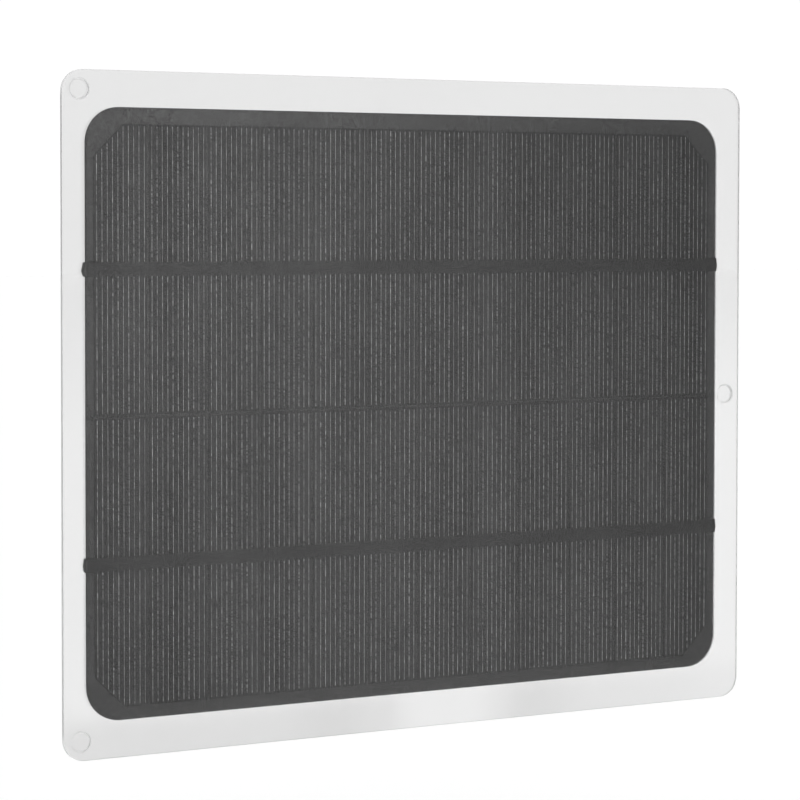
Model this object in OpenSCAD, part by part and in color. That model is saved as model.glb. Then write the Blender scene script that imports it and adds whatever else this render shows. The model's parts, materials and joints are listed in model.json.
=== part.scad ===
// Flexible solar sheet: a thin cell laminate bonded to a clear carrier, with a small wiring box
// behind it. The sheet stands upright. X is its width, Z is up and the cells face -Y.
// The origin is the centre of the carrier's rear face. All sizes are in millimetres.
// A height h is a distance from that rear face: positive towards the cells, negative behind.

/* [Clear carrier] */
// Width of the clear carrier
sheet_w = 220; // [218:0.5:236]
// Height of the clear carrier
sheet_h = 185; // [184:0.5:200]
// Thickness of the clear carrier
carrier_t = 1.2; // [1:0.1:3]
// Corner radius of the clear carrier
sheet_r = 6; // [3:0.5:8]
// Diameter of each round recess in the carrier's border
recess_d = 5.4; // [4:0.2:5.6]
// Depth of each round recess
recess_depth = 0.6; // [0.3:0.1:0.6]
// Distance from each recess's centre to the carrier's side edge
recess_edge = 5; // [4.2:0.1:5.4]
// Distance from the corner recesses' centres to the carrier's upper or lower edge
recess_drop = 5.2; // [4.2:0.1:5.4]

/* [Laminate] */
// Width of the black laminate
laminate_w = 204.4; // [203:0.1:204.5]
// Height of the black laminate
laminate_h = 164.8; // [163:0.1:166]
// Corner radius of the black laminate
laminate_r = 9.6; // [6:0.2:10.4]
// Sideways offset of the laminate from the carrier's centre
laminate_x = -1.5; // [-2.5:0.1:-1.5]
// Upward offset of the laminate from the carrier's centre
laminate_z = 0.2; // [0:0.1:0.5]
// Thickness of the adhesive between laminate and carrier
bond_t = 0.3; // [0.3:0.05:0.5]
// Thickness of the black backsheet
backsheet_t = 0.2; // [0.1:0.05:0.5]
// Thickness of the encapsulant behind the cells
rear_encapsulant_t = 0.25; // [0.2:0.05:0.5]
// Thickness of the encapsulant in front of the cells
front_encapsulant_t = 0.35; // [0.3:0.05:0.6]
// Thickness of the matte front film
film_t = 0.15; // [0.1:0.05:0.4]

/* [Cells] */
// Number of cell strips in each of the two rows
cells_in_row = 12; // [12]
// Distance between two printed fingers on a cell
finger_pitch = 1.534; // [1.5:0.001:1.54]
// Average number of fingers on a strip
mean_fingers = 10.45; // [10.4:0.01:10.46]
// Gap between neighbouring strips
cell_gap = 0.67; // [0.5:0.01:0.8]
// Height of a strip
cell_h = 78; // [76:0.1:79]
// Gap between the two rows
row_gap = 0.7; // [0.5:0.1:1]
// Thickness of a cell
cell_t = 0.2; // [0.16:0.01:0.25]
// Leg of the 45 degree corner cut on the four end strips
corner_cut = 8.5; // [4:0.1:9]

/* [Ribbons and tapes] */
// Width of the ribbons that join the strips
ribbon_w = 2; // [1:0.1:3]
// Thickness of all ribbons
ribbon_t = 0.15; // [0.1:0.01:0.15]
// Width of the collector ribbons and leads
bus_w = 3; // [2:0.1:3]
// Height of the black tapes over the upper and lower ribbons
tape_h = 3.9; // [3:0.1:5]
// Thickness of the black tapes
tape_t = 0.1; // [0.05:0.01:0.12]
// How far the tapes reach past the laminate's left edge
tape_over_left = 0.9; // [0.5:0.1:1.5]
// How far the tapes reach past the laminate's right edge
tape_over_right = 0.6; // [0.4:0.1:1.5]

/* [Wiring box] */
// Width of the box
box_w = 54; // [50:1:60]
// Height of the box
box_h = 40; // [38:1:50]
// Depth of the box behind its floor, to the gasket
box_depth = 12; // [12:0.5:16]
// Wall thickness of the box
box_wall = 1.8; // [1.6:0.1:2.2]
// Height of the box's centre above the sheet's centre
box_z = 50; // [45:1:55]
// Thickness of the lid
lid_t = 2; // [1.8:0.1:3]
// Thickness of the lid gasket
gasket_t = 0.6; // [0.4:0.1:1]
// Diameter of the cord opening through the gland's seal
cord_d = 4.2; // [3:0.1:4.6]

/* [Hidden] */
$fn = 96;
ROWS = ["upper", "lower"];
CELL_NAMES = [for (row = ROWS, i = [0 : cells_in_row - 1]) cell_name(row, i)];

// Heights of the layer faces, from the carrier's rear face towards the cells
h_carrier = carrier_t;
h_bus = h_carrier + ribbon_t;
h_bond = h_carrier + bond_t;
h_backsheet = h_bond + backsheet_t;
h_cell_rear = h_backsheet + rear_encapsulant_t;
h_cell_front = h_cell_rear + cell_t;
h_ribbon = h_cell_front + ribbon_t;
h_tape = h_ribbon + tape_t;
h_encapsulant = h_cell_front + front_encapsulant_t;
h_film = h_encapsulant + film_t;

laminate_left = laminate_x - laminate_w / 2;
laminate_right = laminate_x + laminate_w / 2;

// The strips are cut between fingers, so a strip is a whole number of finger pitches wide
string_w = fingers_before(cells_in_row) * finger_pitch + (cells_in_row - 1) * cell_gap;
string_x = -1.75;
rows_z = -0.3;
UPPER_Z = rows_z + (row_gap + cell_h) / 2;
LOWER_Z = rows_z - (row_gap + cell_h) / 2;
tab_inset = 1.5;
upper_tape_z = 39.25;
lower_tape_z = -39.9;

bus_inset = 1.2;
ribbon_return = 4.6;
lead_x = 8;
lead_slot_w = 1.2;
lead_slot_h = 3.8;

seat_depth = 0.3;
seat_gap = 0.3;
pad_t = 0.8;
pad_w = box_w + 2;
pad_h = box_h + 2;
pad_r = 4.5;
h_pad_rear = seat_depth - pad_t;
floor_t = 1.5;
h_floor = h_pad_rear - floor_t;
h_rim = h_pad_rear - box_depth;
h_gasket = h_rim - gasket_t;
h_lid = h_gasket - lid_t;
box_r = 4;
floor_window_w = 22;
floor_window_h = 6;
gasket_w = 1.5;
boss_x = box_w / 2 - 4.8;
boss_z = box_h / 2 - 4.8;
boss_r = 3.2;
screw_r = 1.3;
screw_length = 9;
screw_hole_r = 1.6;
head_r = 2.7;
head_t = 1.1;
head_sink = 1.2;
head_gap = 0.2;
slot_w = 0.7;
slot_depth = 0.6;

post_x = 14;
post_r = 3;
h_post = h_floor - 2.5;
plate_t = 0.8;
h_plate = h_post - plate_t;
plate_inner = 8.4;
plate_outer = 18;
plate_low = -4;
plate_high = 11;
terminal_screw_r = 1.25;
terminal_head_r = 2.4;
terminal_head_t = 1.6;
terminal_shank = 4;
lead_fold = 11;
diode_z = 8.5;
diode_r = 1.35;
diode_length = 5.2;
wire_r = 0.4;
wire_reach = 11;

gland_h = h_pad_rear - 7.6;
gland_hex_af = 12;
locknut_af = 9.6;
gland_thread_r = 4.05;
gland_outer_thread_r = 4.6;
gland_flange_t = 3.5;
gland_thread_length = 5;
gland_bore_r = 2.6;
seal_r = 3.6;
seal_length = 6.2;
seal_seat = 4.5;
locknut_t = 3;
nut_gap = 0.3;
nut_cap_t = 2;
box_bottom = box_z - box_h / 2;
flange_z = box_bottom - gland_flange_t;
seal_top = flange_z - gland_thread_length + seal_seat;
seal_bottom = seal_top - seal_length;

function cell_name(row, i) = str("cell_", row, "_", i < 9 ? "0" : "", i + 1);
// Whole fingers on the strips before strip i, so that the strips hold 10 or 11 each
function fingers_before(i) = floor(mean_fingers * i + 0.15);
function cell_left(i) = string_x - string_w / 2 + fingers_before(i) * finger_pitch + i * cell_gap;
function cell_w(i) = (fingers_before(i + 1) - fingers_before(i)) * finger_pitch;
function cell_right(i) = cell_left(i) + cell_w(i);

// Raises a flat outline drawn in X and Z between two heights
module layer(h_low, h_high) {
    rotate([90, 0, 0])
        translate([0, 0, h_low])
            linear_extrude(h_high - h_low) children();
}

module rounded_rectangle(w, h, r) {
    square([w, h - 2 * r], center = true);
    square([w - 2 * r, h], center = true);
    for (sx = [-1, 1], sz = [-1, 1]) {
        translate([sx * (w / 2 - r), sz * (h / 2 - r)]) circle(r);
    }
}

module laminate_outline() {
    translate([laminate_x, laminate_z]) rounded_rectangle(laminate_w, laminate_h, laminate_r);
}

// A flat strip between two places along X, centred on a height z
module strip(x_low, x_high, z, w) {
    translate([x_low, z - w / 2]) square([x_high - x_low, w]);
}

module recess_places() {
    for (up = [-1, 1]) {
        translate([-sheet_w / 2 + recess_edge, up * (sheet_h / 2 - recess_drop)]) children();
    }
    translate([sheet_w / 2 - recess_edge, 0]) children();
}

module carrier_sheet() {
    color("gainsboro", 0.5)
    difference() {
        layer(0, h_carrier) rounded_rectangle(sheet_w, sheet_h, sheet_r);
        layer(h_carrier - recess_depth, h_carrier + 1) recess_places() circle(recess_d / 2);
        layer(-1, seat_depth)
            translate([0, box_z])
                rounded_rectangle(pad_w + 2 * seat_gap, pad_h + 2 * seat_gap, pad_r);
        for (side = [-1, 1]) {
            layer(-1, h_carrier + 1)
                translate([side * lead_x, box_z])
                    square([lead_slot_w, lead_slot_h], center = true);
        }
    }
}

module bond_layer() {
    color("whitesmoke", 0.5)
    difference() {
        layer(h_carrier, h_bond) laminate_outline();
        bus(-1);
        bus(1);
        for (side = [-1, 1]) {
            lead_run(side);
            lead_drop(side);
            ribbon_return_run(side, UPPER_Z);
            ribbon_return_run(side, LOWER_Z);
        }
    }
}

module backsheet() {
    color("dimgray")
    layer(h_bond, h_backsheet) laminate_outline();
}

module rear_encapsulant() {
    color("gray", 0.6)
    difference() {
        layer(h_backsheet, h_cell_rear) laminate_outline();
        for (z = [UPPER_Z, LOWER_Z]) {
            tab_row(z);
            right_cell_run(z);
        }
    }
}

// One cell strip. The four strips at the ends of the rows have a 45 degree corner cut.
module cell(row, i) {
    z = row == "upper" ? UPPER_Z : LOWER_Z;
    up = row == "upper" ? 1 : -1;
    color("darkslategray")
    layer(h_cell_rear, h_cell_front)
        translate([cell_left(i) + cell_w(i) / 2, z])
            scale([i == 0 ? 1 : -1, up])
                cell_outline(cell_w(i), i == 0 || i == cells_in_row - 1 ? corner_cut : 0);
}

// A strip's outline, with its upper left corner cut back
module cell_outline(w, cut) {
    if (cut > 0) {
        polygon([
            [-w / 2, -cell_h / 2],
            [w / 2, -cell_h / 2],
            [w / 2, cell_h / 2],
            [-w / 2 + cut, cell_h / 2],
            [-w / 2, cell_h / 2 - cut]
        ]);
    } else {
        square([w, cell_h], center = true);
    }
}

module all_cells() {
    for (row = ROWS, i = [0 : cells_in_row - 1]) {
        cell(row, i);
    }
}

// The ribbon from the rear of one strip through the gap to the front of the next
module tab(i, z) {
    gap_middle = cell_right(i) + cell_gap / 2;
    layer(h_cell_rear - ribbon_t, h_cell_rear)
        strip(cell_left(i) + tab_inset, gap_middle + ribbon_t / 2, z, ribbon_w);
    layer(h_cell_rear - ribbon_t, h_ribbon)
        strip(gap_middle - ribbon_t / 2, gap_middle + ribbon_t / 2, z, ribbon_w);
    layer(h_cell_front, h_ribbon)
        strip(gap_middle - ribbon_t / 2, cell_right(i + 1) - tab_inset, z, ribbon_w);
}

module tab_row(z) {
    for (i = [0 : cells_in_row - 2]) {
        tab(i, z);
    }
}

module upper_tabs() {
    color("silver") tab_row(UPPER_Z);
}

module lower_tabs() {
    color("silver") tab_row(LOWER_Z);
}

// The folded end of a row's ribbon, back under the laminate onto the collector
module ribbon_return_run(side, z) {
    edge = side < 0 ? laminate_left : laminate_right;
    layer(h_bus, h_bond)
        strip(min(edge, edge - side * ribbon_return), max(edge, edge - side * ribbon_return), z, ribbon_w);
}

module left_cell_run(z) {
    layer(h_cell_front, h_ribbon)
        strip(laminate_left - ribbon_t, cell_right(0) - tab_inset, z, ribbon_w);
}

module right_cell_run(z) {
    layer(h_cell_rear - ribbon_t, h_cell_rear)
        strip(cell_left(cells_in_row - 1) + tab_inset, laminate_right + ribbon_t, z, ribbon_w);
}

// Takes the row's left end from the first strip's front, over the laminate's edge, to the collector
module left_ribbon(z) {
    left_cell_run(z);
    layer(h_bus, h_ribbon) strip(laminate_left - ribbon_t, laminate_left, z, ribbon_w);
    ribbon_return_run(-1, z);
}

// Takes the row's right end from the last strip's rear, over the laminate's edge, to the collector
module right_ribbon(z) {
    right_cell_run(z);
    layer(h_bus, h_cell_rear) strip(laminate_right, laminate_right + ribbon_t, z, ribbon_w);
    ribbon_return_run(1, z);
}

module upper_left_ribbon() {
    color("silver") left_ribbon(UPPER_Z);
}

module lower_left_ribbon() {
    color("silver") left_ribbon(LOWER_Z);
}

module upper_right_ribbon() {
    color("silver") right_ribbon(UPPER_Z);
}

module lower_right_ribbon() {
    color("silver") right_ribbon(LOWER_Z);
}

// The collector ribbon that joins both rows and rises to the wiring box
module bus(side) {
    edge = side < 0 ? laminate_left : laminate_right;
    x = edge - side * (bus_inset + bus_w / 2);
    layer(h_carrier, h_bus)
        translate([x - bus_w / 2, LOWER_Z - bus_w / 2])
            square([bus_w, box_z - LOWER_Z + bus_w]);
}

module left_bus() {
    color("silver") bus(-1);
}

module right_bus() {
    color("silver") bus(1);
}

// The lead's run from the collector to above its slot in the carrier
module lead_run(side) {
    edge = side < 0 ? laminate_left : laminate_right;
    outer = edge - side * bus_inset;
    inner = side * (lead_x - ribbon_t / 2);
    layer(h_bus, h_bond) strip(min(outer, inner), max(outer, inner), box_z, bus_w);
}

// The lead's run down through the carrier to its terminal
module lead_drop(side) {
    x = side * lead_x - ribbon_t / 2;
    layer(h_plate - ribbon_t, h_bond) strip(x, x + ribbon_t, box_z, bus_w);
}

module lead(side) {
    x = side * lead_x - ribbon_t / 2;
    fold = side * lead_fold;
    lead_run(side);
    lead_drop(side);
    layer(h_plate - ribbon_t, h_plate)
        strip(min(x, fold), max(x + ribbon_t, fold), box_z, bus_w);
}

module left_lead() {
    color("silver") lead(-1);
}

module right_lead() {
    color("silver") lead(1);
}

// A black tape over a row's ribbons. Its ends fold down over the laminate's edges to the carrier.
module tape(z) {
    tape_left = laminate_left - tape_over_left;
    tape_right = laminate_right + tape_over_right;
    layer(h_ribbon, h_tape) strip(tape_left, tape_right, z, tape_h);
    layer(h_carrier, h_tape) strip(tape_left, laminate_left - ribbon_t, z, tape_h);
    layer(h_carrier, h_tape) strip(laminate_right + ribbon_t, tape_right, z, tape_h);
}

module upper_tape() {
    color("black") tape(upper_tape_z);
}

module lower_tape() {
    color("black") tape(lower_tape_z);
}

// Fills the space between and over the cells, round the ribbons and tapes
module front_encapsulant() {
    color("gray", 0.5)
    difference() {
        layer(h_cell_rear, h_encapsulant) laminate_outline();
        all_cells();
        for (z = [UPPER_Z, LOWER_Z]) {
            tab_row(z);
            left_cell_run(z);
        }
        upper_tape();
        lower_tape();
    }
}

module front_film() {
    color("darkgray", 0.5)
    layer(h_encapsulant, h_film) laminate_outline();
}

module at_box() {
    translate([0, box_z]) children();
}

module boss_places() {
    for (sx = [-1, 1], sz = [-1, 1]) {
        translate([sx * boss_x, sz * boss_z]) children();
    }
}

// The adhesive pad that holds the box in the carrier's shallow seat
module box_pad() {
    color("dimgray")
    layer(h_pad_rear, seat_depth) at_box()
        difference() {
            rounded_rectangle(pad_w, pad_h, pad_r);
            square([floor_window_w, floor_window_h], center = true);
        }
}

module box_base() {
    color("black")
    difference() {
        union() {
            layer(h_floor, h_pad_rear) at_box() rounded_rectangle(pad_w, pad_h, pad_r);
            layer(h_rim, h_floor) at_box()
                difference() {
                    rounded_rectangle(box_w, box_h, box_r);
                    rounded_rectangle(box_w - 2 * box_wall, box_h - 2 * box_wall, box_r - box_wall);
                }
            layer(h_gasket, h_floor) at_box() boss_places() circle(boss_r);
            for (side = [-1, 1]) {
                layer(h_post, h_floor) at_box() translate([side * post_x, 0]) circle(post_r);
            }
        }
        layer(h_floor - 1, h_pad_rear + 1) at_box()
            square([floor_window_w, floor_window_h], center = true);
        layer(h_gasket - 1, h_gasket + screw_length) at_box() boss_places() circle(screw_r);
        for (side = [-1, 1]) {
            layer(h_post - 1, h_post + terminal_shank - plate_t) at_box()
                translate([side * post_x, 0]) circle(terminal_screw_r);
        }
        along_gland(box_bottom - 1, box_bottom + box_wall + 1) circle(gland_thread_r);
    }
}

module box_gasket() {
    color("dimgray")
    layer(h_gasket, h_rim) at_box()
        difference() {
            rounded_rectangle(box_w, box_h, box_r);
            rounded_rectangle(box_w - 2 * gasket_w, box_h - 2 * gasket_w, box_r - gasket_w);
        }
}

module box_lid() {
    color("black")
    difference() {
        layer(h_lid, h_gasket) at_box() rounded_rectangle(box_w, box_h, box_r);
        layer(h_lid - 1, h_gasket + 1) at_box() boss_places() circle(screw_hole_r);
        layer(h_lid - 1, h_lid + head_sink) at_box() boss_places() circle(head_r + head_gap);
    }
}

// A slotted pan head with its shank, at the place where it is drawn
module screw(h_seat, head_radius, head_thickness, shank_r, shank_length) {
    difference() {
        union() {
            layer(h_seat - head_thickness, h_seat) circle(head_radius);
            layer(h_seat, h_seat + shank_length) circle(shank_r);
        }
        layer(h_seat - head_thickness - 1, h_seat - head_thickness + slot_depth)
            square([2 * head_radius + 1, slot_w], center = true);
    }
}

module box_screws() {
    color("silver")
    for (sx = [-1, 1], sz = [-1, 1]) {
        translate([sx * boss_x, 0, box_z + sz * boss_z])
            screw(h_lid + head_sink, head_r, head_t, screw_r, screw_length);
    }
}

module terminal(side) {
    low = min(side * plate_inner, side * plate_outer);
    layer(h_plate, h_post) at_box()
        difference() {
            translate([low, plate_low]) square([plate_outer - plate_inner, plate_high - plate_low]);
            translate([side * post_x, 0]) circle(terminal_screw_r);
        }
}

module negative_terminal() {
    color("goldenrod") terminal(-1);
}

module positive_terminal() {
    color("goldenrod") terminal(1);
}

module terminal_screws() {
    color("silver")
    for (side = [-1, 1]) {
        translate([side * post_x, 0, box_z])
            screw(h_plate, terminal_head_r, terminal_head_t, terminal_screw_r, terminal_shank);
    }
}

// The bypass diode lies across the terminals, with its wires soldered on top of them
module bypass_diode() {
    translate([0, -h_plate + wire_r, box_z + diode_z])
        rotate([0, 90, 0]) {
            color("black") cylinder(h = diode_length, r = diode_r, center = true);
            color("silver") cylinder(h = 2 * wire_reach, r = wire_r, center = true);
        }
}

// Raises a round outline along the gland's axis between two places along Z
module along_gland(z_low, z_high) {
    translate([0, -gland_h, z_low])
        linear_extrude(z_high - z_low) children();
}

// A hexagon with flats across X, Y being its corners' direction turned onto the sheet's plane
module hexagon(across_flats) {
    rotate(30) circle(across_flats / sqrt(3), $fn = 6);
}

module gland_body() {
    color("black")
    difference() {
        union() {
            along_gland(box_bottom, box_bottom + box_wall + locknut_t + 0.6) circle(gland_thread_r);
            along_gland(flange_z, box_bottom) rotate(90) hexagon(gland_hex_af);
            along_gland(flange_z - gland_thread_length, flange_z) circle(gland_outer_thread_r);
        }
        along_gland(flange_z - gland_thread_length - 1, box_bottom + box_h) circle(gland_bore_r);
        along_gland(flange_z - gland_thread_length - 1, seal_top) circle(seal_r);
    }
}

module gland_locknut() {
    color("black")
    along_gland(box_bottom + box_wall, box_bottom + box_wall + locknut_t)
        difference() {
            rotate(90) hexagon(locknut_af);
            circle(gland_thread_r);
        }
}

module gland_seal() {
    color("dimgray")
    along_gland(seal_bottom, seal_top)
        difference() {
            circle(seal_r);
            circle(cord_d / 2);
        }
}

// The nut grips the seal against the cord. Its outer end is a cone with the cord opening in it.
module gland_nut() {
    thread_end = flange_z - gland_thread_length;
    color("black")
    difference() {
        union() {
            along_gland(seal_bottom, flange_z - nut_gap) rotate(90) hexagon(gland_hex_af);
            translate([0, -gland_h, seal_bottom - nut_cap_t])
                cylinder(h = nut_cap_t, r1 = gland_bore_r + 1.4, r2 = gland_hex_af / 2);
        }
        along_gland(thread_end - nut_gap, flange_z + 1) circle(gland_outer_thread_r);
        along_gland(seal_bottom, flange_z) circle(seal_r);
        along_gland(seal_bottom - nut_cap_t - 1, flange_z) circle(gland_bore_r);
    }
}

carrier_sheet();
bond_layer();
backsheet();
rear_encapsulant();
for (row = ROWS, i = [0 : cells_in_row - 1]) {
    cell(row, i);
}
upper_tabs();
lower_tabs();
upper_left_ribbon();
lower_left_ribbon();
upper_right_ribbon();
lower_right_ribbon();
left_bus();
right_bus();
left_lead();
right_lead();
upper_tape();
lower_tape();
front_encapsulant();
front_film();
box_pad();
box_base();
box_gasket();
box_lid();
box_screws();
negative_terminal();
positive_terminal();
terminal_screws();
bypass_diode();
gland_body();
gland_locknut();
gland_seal();
gland_nut();
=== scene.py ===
import json
import math
import random

import bmesh
import bpy
from mathutils import Matrix, Vector, noise


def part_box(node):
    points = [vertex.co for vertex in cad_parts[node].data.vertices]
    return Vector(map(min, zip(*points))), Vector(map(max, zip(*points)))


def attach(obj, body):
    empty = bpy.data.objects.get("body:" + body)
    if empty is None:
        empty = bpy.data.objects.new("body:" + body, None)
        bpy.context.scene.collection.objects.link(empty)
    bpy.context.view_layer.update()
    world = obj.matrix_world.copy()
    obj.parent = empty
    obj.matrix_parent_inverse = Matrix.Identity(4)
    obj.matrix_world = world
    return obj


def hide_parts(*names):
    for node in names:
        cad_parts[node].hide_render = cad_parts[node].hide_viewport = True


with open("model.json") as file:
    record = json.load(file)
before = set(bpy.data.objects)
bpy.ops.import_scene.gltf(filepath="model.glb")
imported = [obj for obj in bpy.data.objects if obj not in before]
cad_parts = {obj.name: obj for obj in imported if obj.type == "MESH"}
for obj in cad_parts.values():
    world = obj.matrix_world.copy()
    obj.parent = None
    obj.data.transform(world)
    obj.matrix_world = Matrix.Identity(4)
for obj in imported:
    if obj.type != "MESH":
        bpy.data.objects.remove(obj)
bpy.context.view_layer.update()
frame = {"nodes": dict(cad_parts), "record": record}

MM = 0.001
NODES = frame["nodes"]
SCENE = bpy.context.scene

# Heights above the carrier's rear face, towards the cells, in millimetres
H_CARRIER = -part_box("carrier_sheet")[0].y / MM
H_REAR_ENCAPSULANT = -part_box("rear_encapsulant")[0].y / MM
H_CELL = -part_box("cell_upper_02")[0].y / MM
H_TAPE = -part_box("upper_tape")[0].y / MM
H_FILM = -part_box("front_film")[0].y / MM

LAMINATE_R = 9.6
CORNER_CUT = 8.5
FINGER_PITCH = 1.534
FINGER_END = 0.5
RIBBON_T = 0.15
RECESS_EASE = 0.28
# What lies within this distance of a round recess's mount belongs to the recess, in metres
RECESS_REACH = 0.004
ROWS = ("upper", "lower")

# The room's light. Places are directions as on a wall in front of the sheet, described in studio_world.
BACK_LIGHT = 1.02
FRONT_LIGHT = 0.12
CEILING_LIGHT = 0.80
SOFTBOX_LEFT, SOFTBOX_RIGHT = 0.36, 0.78
SOFTBOX_LOW, SOFTBOX_HIGH = -0.199, 0.12
SOFTBOX_LIGHT = (1.9, 3.9)
SOFTBOX_LEAN = (1.0, 1.06)
STRIP_HEIGHT = 0.1
STRIP_BRIGHTNESS = 3.7
# The bars in the strip below the softbox: a place across it and a level. The two ends come first.
STRIP_LIGHTS = (
    (0.0, 0.28), (1.0, 1.0),
    (0.30, 0.28), (0.385, 0.0), (0.44, 0.3), (0.48, 1.0), (0.54, 1.0), (0.61, 0.12), (0.68, 0.55),
)


def span(node, axis):
    """The lowest and highest place of a CAD node along an axis, in millimetres."""
    low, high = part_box(node)
    return low[axis] / MM, high[axis] / MM


def place(x, z, h):
    """A point over the carrier's rear face, in metres."""
    return Vector((x * MM, -h * MM, z * MM))


# ---------------------------------------------------------------- camera, stage and light

def add_camera():
    """At the photograph's viewing angle, with the lens shifted to keep the sheet in frame."""
    azimuth, elevation, roll = (math.radians(a) for a in (-28.865, 2.061, 0.073))
    distance, target = 771.5, Vector((-6.83, 0.0, 24.07))
    back = Vector((
        math.sin(azimuth) * math.cos(elevation),
        -math.cos(azimuth) * math.cos(elevation),
        math.sin(elevation),
    ))
    right = Vector((math.cos(azimuth), math.sin(azimuth), 0.0))
    up = back.cross(right)
    turned_right = right * math.cos(roll) + up * math.sin(roll)
    turned_up = up * math.cos(roll) - right * math.sin(roll)
    camera = bpy.data.objects.new("camera", bpy.data.cameras.new("camera"))
    SCENE.collection.objects.link(camera)
    turn = Matrix((turned_right, turned_up, back)).transposed()
    camera.matrix_world = Matrix.Translation((target + back * distance) * MM) @ turn.to_4x4()
    camera.data.sensor_width = 36.0
    camera.data.lens = 122.2
    camera.data.shift_x, camera.data.shift_y = -0.00085, -0.0996
    camera.data.clip_start, camera.data.clip_end = 0.01, 50.0
    SCENE.camera = camera


def add_area_light(name, location, target, size, power):
    data = bpy.data.lights.new(name, "AREA")
    data.shape = "RECTANGLE"
    data.size, data.size_y = size
    data.energy = power
    light = bpy.data.objects.new(name, data)
    SCENE.collection.objects.link(light)
    light.location = location
    light.rotation_mode = "QUATERNION"
    light.rotation_quaternion = (Vector(target) - Vector(location)).to_track_quat("-Z", "Y")
    light.visible_camera = False
    light.visible_glossy = False
    light.visible_transmission = False


def add_stage():
    """A pale floor below the sheet, in a white room."""
    mesh = bpy.data.meshes.new("floor")
    mesh.from_pydata([(-9, -9, 0), (9, -9, 0), (9, 9, 0), (-9, 9, 0)], [], [(0, 1, 2, 3)])
    floor = bpy.data.objects.new("floor", mesh)
    floor.location.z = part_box("carrier_sheet")[0].z - 0.06
    SCENE.collection.objects.link(floor)
    mesh.materials.append(new_material("studio_floor", grey(0.97), 0.7)[0])
    floor.visible_glossy = False
    SCENE.world = studio_world()
    SCENE.view_settings.view_transform = "Standard"
    add_area_light("upper_fill", (-0.070, -0.142, 0.062), (-0.070, 0, 0.062), (0.05, 0.05), 0.155)
    add_area_light("lower_fill", (0.0, -0.197, -0.115), (0.0, 0, -0.115), (0.05, 0.05), 0.205)


def studio_world():
    """A white room with a bright ceiling, a dim front, and a softbox in front that the sheet mirrors.

    Directions are measured as on a wall in front of the sheet: across is x / -y, and upright is z / -y.
    """
    world = bpy.data.worlds.new("studio")
    world.use_nodes = True
    nodes, links = world.node_tree.nodes, world.node_tree.links

    def math_node(operation, *inputs):
        node = nodes.new("ShaderNodeMath")
        node.operation = operation
        for socket, value in zip(node.inputs, inputs):
            if isinstance(value, (int, float)):
                socket.default_value = value
            else:
                links.new(value, socket)
        return node.outputs["Value"]

    def step(value, start, end, low=0.0, high=1.0):
        node = nodes.new("ShaderNodeMapRange")
        node.interpolation_type = "SMOOTHSTEP"
        links.new(value, node.inputs["Value"])
        for socket, number in zip(("From Min", "From Max", "To Min", "To Max"), (start, end, low, high)):
            node.inputs[socket].default_value = number
        return node.outputs["Result"]

    def window(value, low, high, soft):
        above_low = step(value, low - soft, low + soft)
        below_high = step(value, high + soft, high - soft)
        return math_node("MULTIPLY", above_low, below_high)

    def linear(value, start, end):
        node = nodes.new("ShaderNodeMapRange")
        links.new(value, node.inputs["Value"])
        node.inputs["From Min"].default_value, node.inputs["From Max"].default_value = start, end
        return node.outputs["Result"]

    where = nodes.new("ShaderNodeTexCoord")
    parts = nodes.new("ShaderNodeSeparateXYZ")
    links.new(where.outputs["Generated"], parts.inputs["Vector"])
    x, y, z = parts.outputs["X"], parts.outputs["Y"], parts.outputs["Z"]
    depth = math_node("MAXIMUM", math_node("MULTIPLY", y, -1.0), 0.01)
    across, upright = math_node("DIVIDE", x, depth), math_node("DIVIDE", z, depth)

    back = step(y, -0.02, 0.02, FRONT_LIGHT, BACK_LIGHT)
    ceiling = step(z, 0.55, 0.75, 0.0, CEILING_LIGHT)
    box_light = math_node(
        "MULTIPLY",
        step(upright, 0.0, -0.1, *SOFTBOX_LIGHT),
        step(across, SOFTBOX_LEFT, SOFTBOX_RIGHT, *SOFTBOX_LEAN),
    )
    box_shape = math_node(
        "MULTIPLY",
        window(across, SOFTBOX_LEFT, SOFTBOX_RIGHT, 0.03),
        window(upright, SOFTBOX_LOW, SOFTBOX_HIGH, 0.006),
    )
    softbox = math_node("MULTIPLY", box_light, box_shape)
    strip = nodes.new("ShaderNodeValToRGB")
    strip.color_ramp.interpolation = "EASE"
    links.new(linear(across, SOFTBOX_LEFT, SOFTBOX_RIGHT), strip.inputs["Fac"])
    for index, (place_across, level) in enumerate(STRIP_LIGHTS):
        if index < 2:
            stop = strip.color_ramp.elements[index]
            stop.position = place_across
        else:
            stop = strip.color_ramp.elements.new(place_across)
        stop.color = (level, level, level, 1.0)
    strip_shape = window(upright, SOFTBOX_LOW - STRIP_HEIGHT, SOFTBOX_LOW, 0.006)
    strip_light = math_node("MULTIPLY", strip.outputs["Color"], STRIP_BRIGHTNESS)
    panels = math_node("ADD", softbox, math_node("MULTIPLY", strip_shape, strip_light))
    front_panels = math_node("MULTIPLY", panels, math_node("LESS_THAN", y, 0.0))
    total = math_node("ADD", math_node("ADD", back, ceiling), front_panels)
    path = nodes.new("ShaderNodeLightPath")
    background = nodes["Background"]
    background.inputs["Color"].default_value = (1.0, 1.0, 1.0, 1.0)
    links.new(math_node("MAXIMUM", path.outputs["Is Camera Ray"], total), background.inputs["Strength"])
    return world


# ---------------------------------------------------------------- materials

def new_material(name, colour, roughness, **sockets):
    """A Principled material with plain values on its own sockets."""
    mat = bpy.data.materials.new(name)
    mat.use_nodes = True
    shader = mat.node_tree.nodes["Principled BSDF"]
    shader.inputs["Base Color"].default_value = (*colour, 1.0)
    shader.inputs["Roughness"].default_value = roughness
    for socket, value in sockets.items():
        shader.inputs[socket.replace("_", " ")].default_value = value
    return mat, shader


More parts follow.
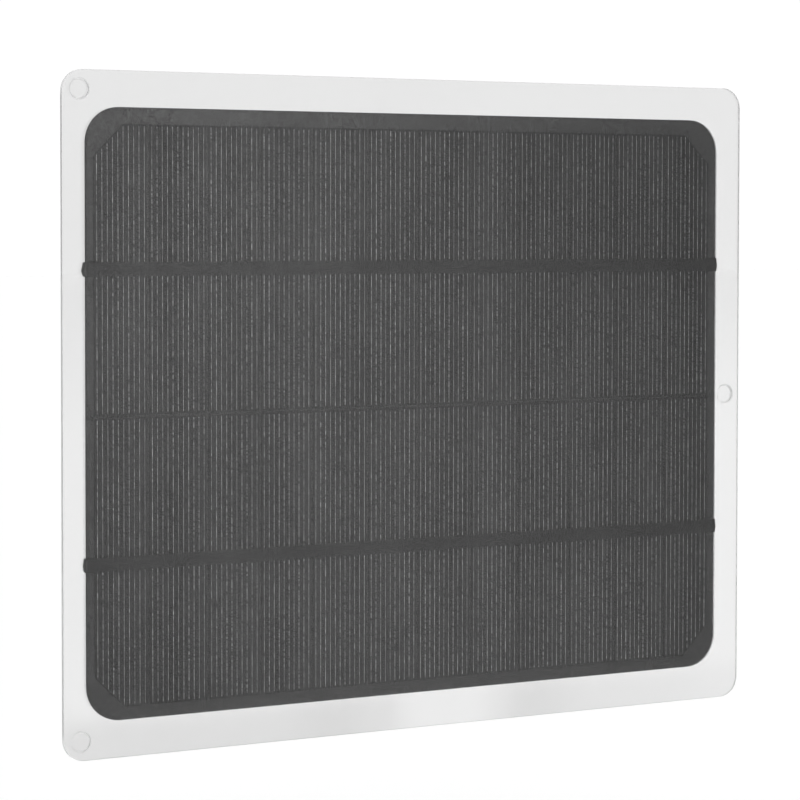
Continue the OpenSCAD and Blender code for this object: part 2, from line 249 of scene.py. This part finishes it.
def noise_node(mat, scale, detail=3.0, roughness=0.5, stretch=(1, 1, 1), distortion=0.0):
    """Noise in the part's own frame. scale is in features per metre."""
    nodes, links = mat.node_tree.nodes, mat.node_tree.links
    where = nodes.new("ShaderNodeTexCoord")
    mapping = nodes.new("ShaderNodeMapping")
    mapping.inputs["Scale"].default_value = stretch
    links.new(where.outputs["Object"], mapping.inputs["Vector"])
    tex = nodes.new("ShaderNodeTexNoise")
    tex.inputs["Scale"].default_value = scale
    tex.inputs["Detail"].default_value = detail
    tex.inputs["Roughness"].default_value = roughness
    tex.inputs["Distortion"].default_value = distortion
    links.new(mapping.outputs["Vector"], tex.inputs["Vector"])
    return tex.outputs["Fac"]


def ramp(mat, value, low, high, start=0.3, end=0.7):
    """Spreads a value between two colours."""
    node = mat.node_tree.nodes.new("ShaderNodeValToRGB")
    node.color_ramp.elements[0].position = start
    node.color_ramp.elements[1].position = end
    node.color_ramp.elements[0].color = (*low, 1.0)
    node.color_ramp.elements[1].color = (*high, 1.0)
    mat.node_tree.links.new(value, node.inputs["Fac"])
    return node.outputs["Color"]


def map_range(mat, value, low, high, start=0.3, end=0.7):
    node = mat.node_tree.nodes.new("ShaderNodeMapRange")
    for socket, number in zip(("From Min", "From Max", "To Min", "To Max"), (start, end, low, high)):
        node.inputs[socket].default_value = number
    mat.node_tree.links.new(value, node.inputs["Value"])
    return node.outputs["Result"]


def multiply(mat, a, b):
    node = mat.node_tree.nodes.new("ShaderNodeVectorMath")
    node.operation = "MULTIPLY"
    mat.node_tree.links.new(a, node.inputs[0])
    mat.node_tree.links.new(b, node.inputs[1])
    return node.outputs["Vector"]


def add_values(mat, a, b, weight):
    """a plus weight times b."""
    node = mat.node_tree.nodes.new("ShaderNodeMath")
    node.operation = "MULTIPLY_ADD"
    node.inputs[1].default_value = weight
    mat.node_tree.links.new(b, node.inputs[0])
    mat.node_tree.links.new(a, node.inputs[2])
    return node.outputs["Value"]


def bump(mat, shader, height, distance):
    node = mat.node_tree.nodes.new("ShaderNodeBump")
    node.inputs["Distance"].default_value = distance
    mat.node_tree.links.new(height, node.inputs["Height"])
    mat.node_tree.links.new(node.outputs["Normal"], shader.inputs["Normal"])


def grey(value, tint=(1.0, 1.0, 1.0)):
    return tuple(value * t for t in tint)


def grained(name, low, high, roughness, scale, depth):
    """Plastic or rubber with a fine grain, a slow change of tone and a roughness that varies."""
    mat, shader = new_material(name, low, roughness)
    links = mat.node_tree.links
    slow = noise_node(mat, 60.0, 4.0, 0.6)
    fine = noise_node(mat, scale, 2.0, 0.5)
    both = add_values(mat, slow, fine, 0.4)
    links.new(ramp(mat, both, low, high, 0.45, 0.95), shader.inputs["Base Color"])
    links.new(map_range(mat, slow, roughness * 0.85, roughness * 1.2), shader.inputs["Roughness"])
    bump(mat, shader, fine, depth)
    return mat


def speckled(name, low, high, roughness, scale, depth):
    """A film whose tone changes from grain to grain."""
    mat, shader = new_material(name, low, roughness)
    links = mat.node_tree.links
    fine = noise_node(mat, scale, 1.0, 0.5)
    slow = noise_node(mat, 60.0, 4.0, 0.6)
    both = add_values(mat, fine, slow, 0.2)
    links.new(ramp(mat, both, low, high, 0.35, 0.85), shader.inputs["Base Color"])
    links.new(map_range(mat, fine, roughness * 0.9, roughness * 1.1), shader.inputs["Roughness"])
    bump(mat, shader, fine, depth)
    return mat


def backsheet_material():
    """Black film behind the cells, with painted light: paler at the top and left, and a painted shade
    strip behind the rows' gap.
    """
    mat, shader = new_material("black_film", grey(0.08), 0.55)
    nodes, links = mat.node_tree.nodes, mat.node_tree.links
    fine = noise_node(mat, 1500.0, 1.0, 0.5)
    slow = noise_node(mat, 60.0, 4.0, 0.6)
    both = add_values(mat, fine, slow, 0.2)
    grains = ramp(mat, both, grey(0.026), grey(0.142), 0.35, 0.85)
    where = nodes.new("ShaderNodeTexCoord")
    parts = nodes.new("ShaderNodeSeparateXYZ")
    links.new(where.outputs["Object"], parts.inputs["Vector"])
    # The painted light ramp's stops are parts of the way up the sheet: it paints the film paler towards
    # the top. The first four lie behind the rows' gap.
    reach = 0.085
    # Painted shade: these stops darken the film in a strip behind the gap between the rows.
    gap_shade_stops = ((0.4935, 0.88), (0.495, 0.42), (0.5015, 0.42), (0.503, 0.88))
    upward = map_range(mat, parts.outputs["Z"], 0.0, 1.0, -reach, reach)
    painted_light_ramp = nodes.new("ShaderNodeValToRGB")
    painted_light_ramp.color_ramp.elements[0].color = (*grey(0.46), 1.0)
    painted_light_ramp.color_ramp.elements[1].color = (*grey(1.16), 1.0)
    for place_up, level in (*gap_shade_stops, (0.8, 1.1)):
        stop = painted_light_ramp.color_ramp.elements.new(place_up)
        stop.color = (*grey(level), 1.0)
    links.new(upward, painted_light_ramp.inputs["Fac"])
    # Painted light: the film is made darker towards the right.
    across = map_range(mat, parts.outputs["X"], 1.0, 0.88, -0.04, 0.1)
    grains_in_painted_light = multiply(mat, grains, painted_light_ramp.outputs["Color"])
    links.new(multiply(mat, grains_in_painted_light, across), shader.inputs["Base Color"])
    links.new(map_range(mat, fine, 0.5, 0.6), shader.inputs["Roughness"])
    bump(mat, shader, fine, 0.00003)
    return mat


def carrier_material():
    """Clear polymer plate with a faint haze and rub marks, darker where more of it is seen through."""
    mat, shader = new_material("clear_carrier", grey(0.73), 0.02, Transmission_Weight=1.0, IOR=1.49)
    links = mat.node_tree.links
    slow = noise_node(mat, 16.0, 3.0, 0.55, distortion=0.4)
    links.new(ramp(mat, slow, grey(0.70), grey(0.715), 0.3, 0.7), shader.inputs["Base Color"])
    rub = noise_node(mat, 240.0, 5.0, 0.65, stretch=(1.0, 1.0, 0.35))
    links.new(map_range(mat, rub, 0.02, 0.06, 0.4, 0.75), shader.inputs["Roughness"])
    wave = noise_node(mat, 9.0, 1.0, 0.5)
    bump(mat, shader, wave, 0.00015)
    return mat


def cut_edge_material():
    """The carrier's outer and recess walls: the same clear plastic, frosted."""
    mat, shader = new_material("frosted_edge", grey(0.7), 0.5, Transmission_Weight=0.6, IOR=1.49)
    links = mat.node_tree.links
    saw = noise_node(mat, 900.0, 3.0, 0.6)
    links.new(ramp(mat, saw, grey(0.82), grey(0.94)), shader.inputs["Base Color"])
    links.new(map_range(mat, saw, 0.35, 0.5), shader.inputs["Roughness"])
    bump(mat, shader, saw, 0.00002)
    return mat


def recess_material():
    """The floors of the round recesses: the carrier's plastic, a little darker."""
    mat, shader = new_material("recess_finish", grey(0.69), 0.04, Transmission_Weight=1.0, IOR=1.49)
    links = mat.node_tree.links
    tooling = noise_node(mat, 700.0, 3.0, 0.6)
    links.new(ramp(mat, tooling, grey(0.685), grey(0.70)), shader.inputs["Base Color"])
    links.new(map_range(mat, tooling, 0.02, 0.05), shader.inputs["Roughness"])
    bump(mat, shader, tooling, 0.000002)
    return mat


def see_through(name, low, high, roughness, alpha, scale, depth, ior=1.5):
    """A film that shows what lies under it. Its Alpha is one plain number."""
    mat, shader = new_material(name, low, roughness, Alpha=alpha, IOR=ior)
    links = mat.node_tree.links
    slow = noise_node(mat, 30.0, 4.0, 0.6)
    fine = noise_node(mat, scale, 2.0, 0.6)
    both = add_values(mat, fine, slow, 0.25)
    links.new(ramp(mat, both, low, high, 0.35, 0.9), shader.inputs["Base Color"])
    links.new(map_range(mat, slow, roughness * 0.92, roughness * 1.08), shader.inputs["Roughness"])
    bump(mat, shader, fine, depth)
    return mat


def silicon_material():
    """Dark etched silicon. Each strip keeps a slightly different tone."""
    mat, shader = new_material("silicon", grey(0.02), 0.4, IOR=1.3)
    links = mat.node_tree.links
    strip_tone = noise_node(mat, 70.0, 0.0, 0.5, stretch=(1.0, 0.0, 0.0))
    etch = noise_node(mat, 1900.0, 2.0, 0.5)
    both = add_values(mat, etch, strip_tone, 0.4)
    low, high = grey(0.006, (0.98, 0.99, 1.0)), grey(0.042, (0.98, 0.99, 1.0))
    links.new(ramp(mat, both, low, high, 0.45, 0.95), shader.inputs["Base Color"])
    links.new(map_range(mat, etch, 0.32, 0.5), shader.inputs["Roughness"])
    bump(mat, shader, etch, 0.00003)
    return mat


def finger_material():
    """Printed silver paste, pale and uneven along its length."""
    mat, shader = new_material("printed_silver", grey(0.6), 0.45, Metallic=0.15)
    links = mat.node_tree.links
    along = noise_node(mat, 2800.0, 0.0, 0.5)
    links.new(ramp(mat, along, grey(0.1), grey(0.95), 0.38, 0.62), shader.inputs["Base Color"])
    links.new(map_range(mat, along, 0.35, 0.6), shader.inputs["Roughness"])
    bump(mat, shader, along, 0.00002)
    return mat


def ribbon_material():
    """Hot-dipped tin on a copper ribbon, with slight waves along it."""
    mat, shader = new_material("tinned_ribbon", grey(0.72), 0.3, Metallic=1.0)
    links = mat.node_tree.links
    waves = noise_node(mat, 260.0, 3.0, 0.6)
    low, high = grey(0.58, (1.0, 0.99, 0.96)), grey(0.82, (1.0, 0.99, 0.97))
    links.new(ramp(mat, waves, low, high), shader.inputs["Base Color"])
    links.new(map_range(mat, waves, 0.22, 0.42), shader.inputs["Roughness"])
    bump(mat, shader, waves, 0.00015)
    return mat


def steel_material():
    """Zinc plate over turned steel."""
    mat, shader = new_material("plated_steel", grey(0.7), 0.3, Metallic=1.0)
    links = mat.node_tree.links
    turned = noise_node(mat, 1500.0, 2.0, 0.5, stretch=(1.0, 0.2, 1.0))
    links.new(ramp(mat, turned, (0.56, 0.57, 0.58), (0.78, 0.78, 0.76)), shader.inputs["Base Color"])
    links.new(map_range(mat, turned, 0.22, 0.45), shader.inputs["Roughness"])
    bump(mat, shader, turned, 0.00004)
    return mat


def brass_material():
    mat, shader = new_material("brass", (0.7, 0.52, 0.25), 0.3, Metallic=1.0)
    links = mat.node_tree.links
    stain = noise_node(mat, 300.0, 4.0, 0.6)
    links.new(ramp(mat, stain, (0.52, 0.37, 0.16), (0.80, 0.62, 0.32)), shader.inputs["Base Color"])
    links.new(map_range(mat, stain, 0.25, 0.5), shader.inputs["Roughness"])
    bump(mat, shader, stain, 0.00003)
    return mat


MATERIALS = {
    "clear_carrier": carrier_material(),
    "frosted_edge": cut_edge_material(),
    "recess_finish": recess_material(),
    "clear_adhesive": see_through("clear_adhesive", grey(0.55), grey(0.7), 0.4, 0.08, 900.0, 0.00002),
    "clear_encapsulant": see_through(
        "clear_encapsulant", grey(0.04), grey(0.06), 0.35, 0.3, 1200.0, 0.00002
    ),
    "matte_film": see_through("matte_film", grey(0.045), grey(0.225), 0.5, 0.24, 1700.0, 0.00005, ior=1.6),
    "black_film": backsheet_material(),
    "silicon_cell": silicon_material(),
    "printed_silver": finger_material(),
    "tinned_ribbon": ribbon_material(),
    "black_tape": speckled("black_tape", grey(0.006), grey(0.034), 0.6, 1800.0, 0.00005),
    "worn_tape": grained("worn_tape", grey(0.045), grey(0.065), 0.6, 1400.0, 0.00006),
    # A paler copy of the worn tape for the tape ends' steep sides: painted light that evens out their
    # shade.
    "worn_tape_side_painted_light": grained("worn_tape_side_painted_light", grey(0.095), grey(0.125), 0.6, 1400.0, 0.00006),
    "box_plastic": grained("box_plastic", grey(0.018), grey(0.03), 0.45, 3200.0, 0.00008),
    "black_rubber": grained("black_rubber", grey(0.022), grey(0.04), 0.8, 1800.0, 0.00006),
    "plated_steel": steel_material(),
    "terminal_metal": brass_material(),
    "diode_plastic": grained("diode_plastic", grey(0.02), grey(0.03), 0.4, 3000.0, 0.00003),
}

SLOT_OF = {s["node"]: s["material_slot"] for s in frame["record"]["subparts"]}
for node_name, node_object in NODES.items():
    for material_slot in node_object.material_slots:
        material_slot.material = MATERIALS[SLOT_OF[node_name]]


# ---------------------------------------------------------------- pieces

def add_piece(name, points, faces, material, smooth=True):
    mesh = bpy.data.meshes.new(name)
    mesh.from_pydata([tuple(p) for p in points], [], faces)
    mesh.validate()
    form = bmesh.new()
    form.from_mesh(mesh)
    bmesh.ops.recalc_face_normals(form, faces=form.faces)
    form.to_mesh(mesh)
    form.free()
    for face in mesh.polygons:
        face.use_smooth = smooth
    mesh.materials.append(MATERIALS[material])
    piece = bpy.data.objects.new(name, mesh)
    SCENE.collection.objects.link(piece)
    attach(piece, "root")
    return piece


def cell_name(row, i):
    return f"cell_{row}_{i + 1:02d}"


def add_fingers(row):
    """The silver lines printed on a row's cells: low ridges whose width wanders a little."""
    rng = random.Random(41 if row == "upper" else 42)
    up = 1 if row == "upper" else -1
    points, faces = [], []
    step, half_width, height = 0.6, 0.058, 0.03
    for i in range(12):
        left, right = span(cell_name(row, i), 0)
        low, high = span(cell_name(row, i), 2)
        count = round((right - left) / FINGER_PITCH)
        pitch = (right - left) / count
        for k in range(count):
            x = left + (k + 0.5) * pitch
            outer = 0.0
            if i == 0:
                outer = max(0.0, CORNER_CUT - (x - left))
            if i == 11:
                outer = max(0.0, CORNER_CUT - (right - x))
            bottom = low + FINGER_END + (outer if up < 0 else 0.0)
            top = high - FINGER_END - (outer if up > 0 else 0.0)
            n = max(2, round((top - bottom) / step))
            strength = rng.uniform(0.8, 1.15)
            start = len(points)
            for j in range(n + 1):
                z = bottom + (top - bottom) * j / n
                w = half_width * strength * rng.uniform(0.6, 1.4)
                points += [
                    place(x - w, z, H_CELL),
                    place(x, z, H_CELL + height),
                    place(x + w, z, H_CELL),
                ]
            for j in range(n):
                a, b = start + 3 * j, start + 3 * j + 3
                faces += [(a, a + 1, b + 1, b), (a + 1, a + 2, b + 2, b + 1), (a + 2, a, b, b + 2)]
            last = start + 3 * n
            faces += [(start, start + 2, start + 1), (last, last + 1, last + 2)]
    add_piece(f"{row}_fingers", points, faces, "printed_silver")


def laminate_lines(edges, low, high, spacing):
    """Places across the laminate: close together at its edges and at the given places."""
    rim_steps, edge_steps, closest = (0.12, 0.35, 0.8, 1.6), (0.2, 0.7, 1.2), 0.06
    wanted = {low, high}
    for d in rim_steps:
        wanted |= {low + d, high - d}
    wanted |= {low + LAMINATE_R, high - LAMINATE_R}
    for e in edges:
        for d in edge_steps:
            wanted |= {e - d, e + d}
    ordered = sorted(w for w in wanted if low <= w <= high)
    result = [ordered[0]]
    for value in ordered[1:]:
        gap = value - result[-1]
        if gap < closest:
            continue
        parts = max(1, round(gap / spacing))
        result += [result[-1] + gap * k / parts for k in range(1, parts + 1)]
    result[-1] = high
    return result


def smooth_step(value, start, end):
    t = min(max((value - start) / (end - start), 0.0), 1.0)
    return t * t * (3 - 2 * t)


def rounded_place(x, z, low_x, high_x, low_z, high_z):
    """Moves a point of the laminate's corner squares onto its round corner."""
    centre_x = min(max(x, low_x + LAMINATE_R), high_x - LAMINATE_R)
    centre_z = min(max(z, low_z + LAMINATE_R), high_z - LAMINATE_R)
    u, v = (x - centre_x) / LAMINATE_R, (z - centre_z) / LAMINATE_R
    return (
        centre_x + LAMINATE_R * u * math.sqrt(1 - v * v / 2),
        centre_z + LAMINATE_R * v * math.sqrt(1 - u * u / 2),
    )


def add_front_cover():
    """The matte film and encapsulant, draped over tapes and cell edges and rounded off at the rim."""
    low_x, high_x = span("front_film", 0)
    low_z, high_z = span("front_film", 2)
    cells = [(span(cell_name("upper", i), 0)) for i in range(12)]
    gaps_x = [(cells[i][1] + cells[i + 1][0]) / 2 for i in range(11)]
    ends_x = [cells[0][0], cells[11][1]]
    upper, lower = span("cell_upper_02", 2), span("cell_lower_02", 2)
    tapes = [span("upper_tape", 2), span("lower_tape", 2)]
    middle = (upper[0] + lower[1]) / 2
    rim_drop, field_drop, gap_dip, gap_reach, tape_rise, ripple = 0.22, 0.05, 0.022, 0.6, 0.03, 0.02
    xs = laminate_lines(gaps_x + ends_x, low_x, high_x, 3.0)
    zs = laminate_lines([upper[1], lower[0], middle, *tapes[0], *tapes[1]], low_z, high_z, 3.0)

    def height(x, z):
        rim = min(x - low_x, high_x - x, z - low_z, high_z - z)
        h = H_FILM - rim_drop * (1 - smooth_step(rim, 0.0, 0.5)) ** 2
        over = min(x - ends_x[0], ends_x[1] - x, upper[1] - z, z - lower[0])
        h -= field_drop * (1 - smooth_step(over, -1.2, 1.2))
        for g in gaps_x:
            h -= gap_dip * math.exp(-(((x - g) / gap_reach) ** 2))
        h -= gap_dip * math.exp(-(((z - middle) / gap_reach) ** 2))
        for tape_low, tape_high in tapes:
            inside = min(z - tape_low, tape_high - z)
            h += tape_rise * smooth_step(inside, -0.5, 0.5)
        return h + ripple * noise.noise(Vector((x / 14, z / 14, 3.0)))

    across, down = len(xs), len(zs)
    base = H_REAR_ENCAPSULANT + 0.02
    points = []
    for z in zs:
        for x in xs:
            px, pz = rounded_place(x, z, low_x, high_x, low_z, high_z)
            points.append(place(px, pz, min(height(x, z), H_FILM)))
    faces = [
        (j * across + i, j * across + i + 1, (j + 1) * across + i + 1, (j + 1) * across + i)
        for j in range(down - 1)
        for i in range(across - 1)
    ]
    ring = list(range(across))
    ring += [j * across + across - 1 for j in range(1, down)]
    ring += [(down - 1) * across + i for i in range(across - 2, -1, -1)]
    ring += [j * across for j in range(down - 2, 0, -1)]
    foot = len(points)
    for index in ring:
        p = points[index]
        points.append(Vector((p.x, -base * MM, p.z)))
    n = len(ring)
    faces += [(ring[k], foot + k, foot + (k + 1) % n, ring[(k + 1) % n]) for k in range(n)]
    faces.append(tuple(range(foot, foot + n)))
    cover = add_piece("front_cover", points, faces, "matte_film")
    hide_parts("front_film", "front_encapsulant")


def add_tape(row, seed, left_bulge, right_bulge):
    """A black tape over a row's ribbons. Its worn ends wrap the folded ribbons down to the carrier.

    A bulge is how far an end reaches out at its rims and a little below its middle.
    """
    node = f"{row}_tape"
    low_x, high_x = span(node, 0)
    low_z, high_z = span(node, 2)
    side_left = span("front_film", 0)[0] - RIBBON_T
    side_right = span("front_film", 0)[1] + RIBBON_T
    rng = random.Random(seed)
    stations, run, worn = 13, 30, 0.3
    lean, top_reach = 0.08, 0.4
    top, under = H_TAPE, H_TAPE - 0.1
    wall, shoulder = H_CARRIER + 0.6, under - 0.1
    lining_heights = (H_CARRIER, H_CARRIER + 0.5, under - 0.15, under)
    outer, inner = [], []
    for s in range(stations):
        t = s / (stations - 1)
        z = low_z + (high_z - low_z) * t
        swell = math.sqrt(max(0.0, 1 - (2 * t - 1) ** 2)) ** 0.7
        bell = math.exp(-(((t - 0.42) / 0.22) ** 2))
        left_reach, right_reach = (b[0] + (b[1] - b[0]) * bell for b in (left_bulge, right_bulge))
        left = side_left - (side_left - low_x) * left_reach * (0.3 + 0.7 * swell)
        right = side_right + (high_x - side_right) * right_reach * (0.3 + 0.7 * swell)
        left += rng.uniform(-0.02, 0.02)
        right += rng.uniform(-0.02, 0.02)
        left, right = max(left, low_x), min(right, high_x)
        skin = [(left, H_CARRIER), (left, wall), (left + lean, shoulder), (left + top_reach, top)]
        lining = [(side_left, h) for h in lining_heights]
        for k in range(run + 1):
            x = side_left + worn + (side_right - side_left - 2 * worn) * k / run
            skin.append((x, top))
            lining.append((x, under))
        skin += [(right - top_reach, top), (right - lean, shoulder), (right, wall), (right, H_CARRIER)]
        lining += [(side_right, h) for h in reversed(lining_heights)]
        outer.append([place(x, z, h) for x, h in skin])
        inner.append([place(x, z, h) for x, h in lining])
    width = len(outer[0])
    points = [p for line in outer for p in line] + [p for line in inner for p in line]
    shift = stations * width
    faces = []
    for s in range(stations - 1):
        for k in range(width - 1):
            a = s * width + k
            faces.append((a, a + 1, a + width + 1, a + width))
            b = a + shift
            faces.append((b, b + width, b + width + 1, b + 1))
        for k in (0, width - 1):
            a = s * width + k
            faces.append((a, a + width, a + width + shift, a + shift))
    for s in (0, stations - 1):
        for k in range(width - 1):
            a = s * width + k
            faces.append((a, a + shift, a + shift + 1, a + 1))
    piece = add_piece(f"{row}_tape_wrap", points, faces, "black_tape", smooth=False)
    piece.data.materials.append(MATERIALS["worn_tape"])
    piece.data.materials.append(MATERIALS["worn_tape_side_painted_light"])
    # Faces facing sideways get the paler copy as painted light; the tops keep the worn tape.
    for face in piece.data.polygons:
        if not (side_left + worn) * MM < face.center.x < (side_right - worn) * MM:
            face.material_index = 2 if abs(face.normal.x) > 0.8 else 1
    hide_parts(node)


def add_refined(node, width, segments=2, clamp=False):
    """A copy of a CAD solid with its sharp edges eased."""
    mesh = NODES[node].data.copy()
    mesh.name = f"{node}_eased"
    form = bmesh.new()
    form.from_mesh(mesh)
    bmesh.ops.remove_doubles(form, verts=form.verts, dist=2e-6)
    bmesh.ops.dissolve_limit(
        form,
        angle_limit=math.radians(1.5),
        verts=form.verts,
        edges=form.edges,
        use_dissolve_boundaries=False,
    )
    form.to_mesh(mesh)
    form.free()
    mesh.materials.clear()
    mesh.materials.append(MATERIALS[SLOT_OF[node]])
    for face in mesh.polygons:
        face.material_index = 0
        face.use_smooth = True
    piece = bpy.data.objects.new(f"{node}_eased", mesh)
    SCENE.collection.objects.link(piece)
    eased = piece.modifiers.new("eased", "BEVEL")
    eased.width = width * MM
    eased.segments = segments
    eased.limit_method = "ANGLE"
    eased.angle_limit = math.radians(35)
    eased.harden_normals = True
    eased.use_clamp_overlap = clamp
    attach(piece, "root")
    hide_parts(node)
    return piece


def apply_modifiers(piece):
    """Turns a piece's modifiers into plain mesh with plain normals."""
    bpy.context.view_layer.update()
    evaluated = piece.evaluated_get(bpy.context.evaluated_depsgraph_get())
    mesh = bpy.data.meshes.new_from_object(evaluated)
    normals = mesh.attributes.get("custom_normal")
    if normals:
        mesh.attributes.remove(normals)
    piece.modifiers.clear()
    piece.data = mesh


def recess_distance(point):
    """How far a point is from the nearest round recess."""
    mounts = [m for m in frame["record"]["mounts"] if "recess" in m["name"]]
    return min((point - Vector(m["pos_m"])).length for m in mounts)


def ease_recesses(mesh):
    """Rounds the mouths and feet of the round recesses."""
    form = bmesh.new()
    form.from_mesh(mesh)
    sharp = [e for e in form.edges if e.is_manifold and e.calc_face_angle() > 1.0]
    rims = [e for e in sharp if max(recess_distance(v.co) for v in e.verts) < RECESS_REACH]
    bmesh.ops.bevel(form, geom=rims, offset=RECESS_EASE * MM, segments=3, profile=0.5, affect="EDGES")
    form.to_mesh(mesh)
    form.free()


def add_carrier():
    """The clear carrier with eased edges, frosted walls and slightly darker recess floors."""
    piece = add_refined("carrier_sheet", 0.06)
    ease_recesses(piece.data)
    apply_modifiers(piece)
    piece.data.materials.append(MATERIALS["frosted_edge"])
    piece.data.materials.append(MATERIALS["recess_finish"])
    for face in piece.data.polygons:
        face.use_smooth = abs(face.normal.y) < 0.999
        if recess_distance(face.center) < RECESS_REACH and face.normal.y < -0.5:
            face.material_index = 2
        elif abs(face.normal.y) < 0.5:
            face.material_index = 1


for row_name in ROWS:
    add_fingers(row_name)
add_carrier()
add_front_cover()
add_tape("upper", 7, (0.7, 1.0), (0.5, 0.85))
add_tape("lower", 8, (0.5, 0.7), (0.45, 0.8))
for node_name, ease in (("box_base", 0.25), ("box_lid", 0.5), ("gland_body", 0.15), ("box_screws", 0.15)):
    add_refined(node_name, ease)
add_refined("gland_nut", 0.25, clamp=True)

add_camera()
add_stage()
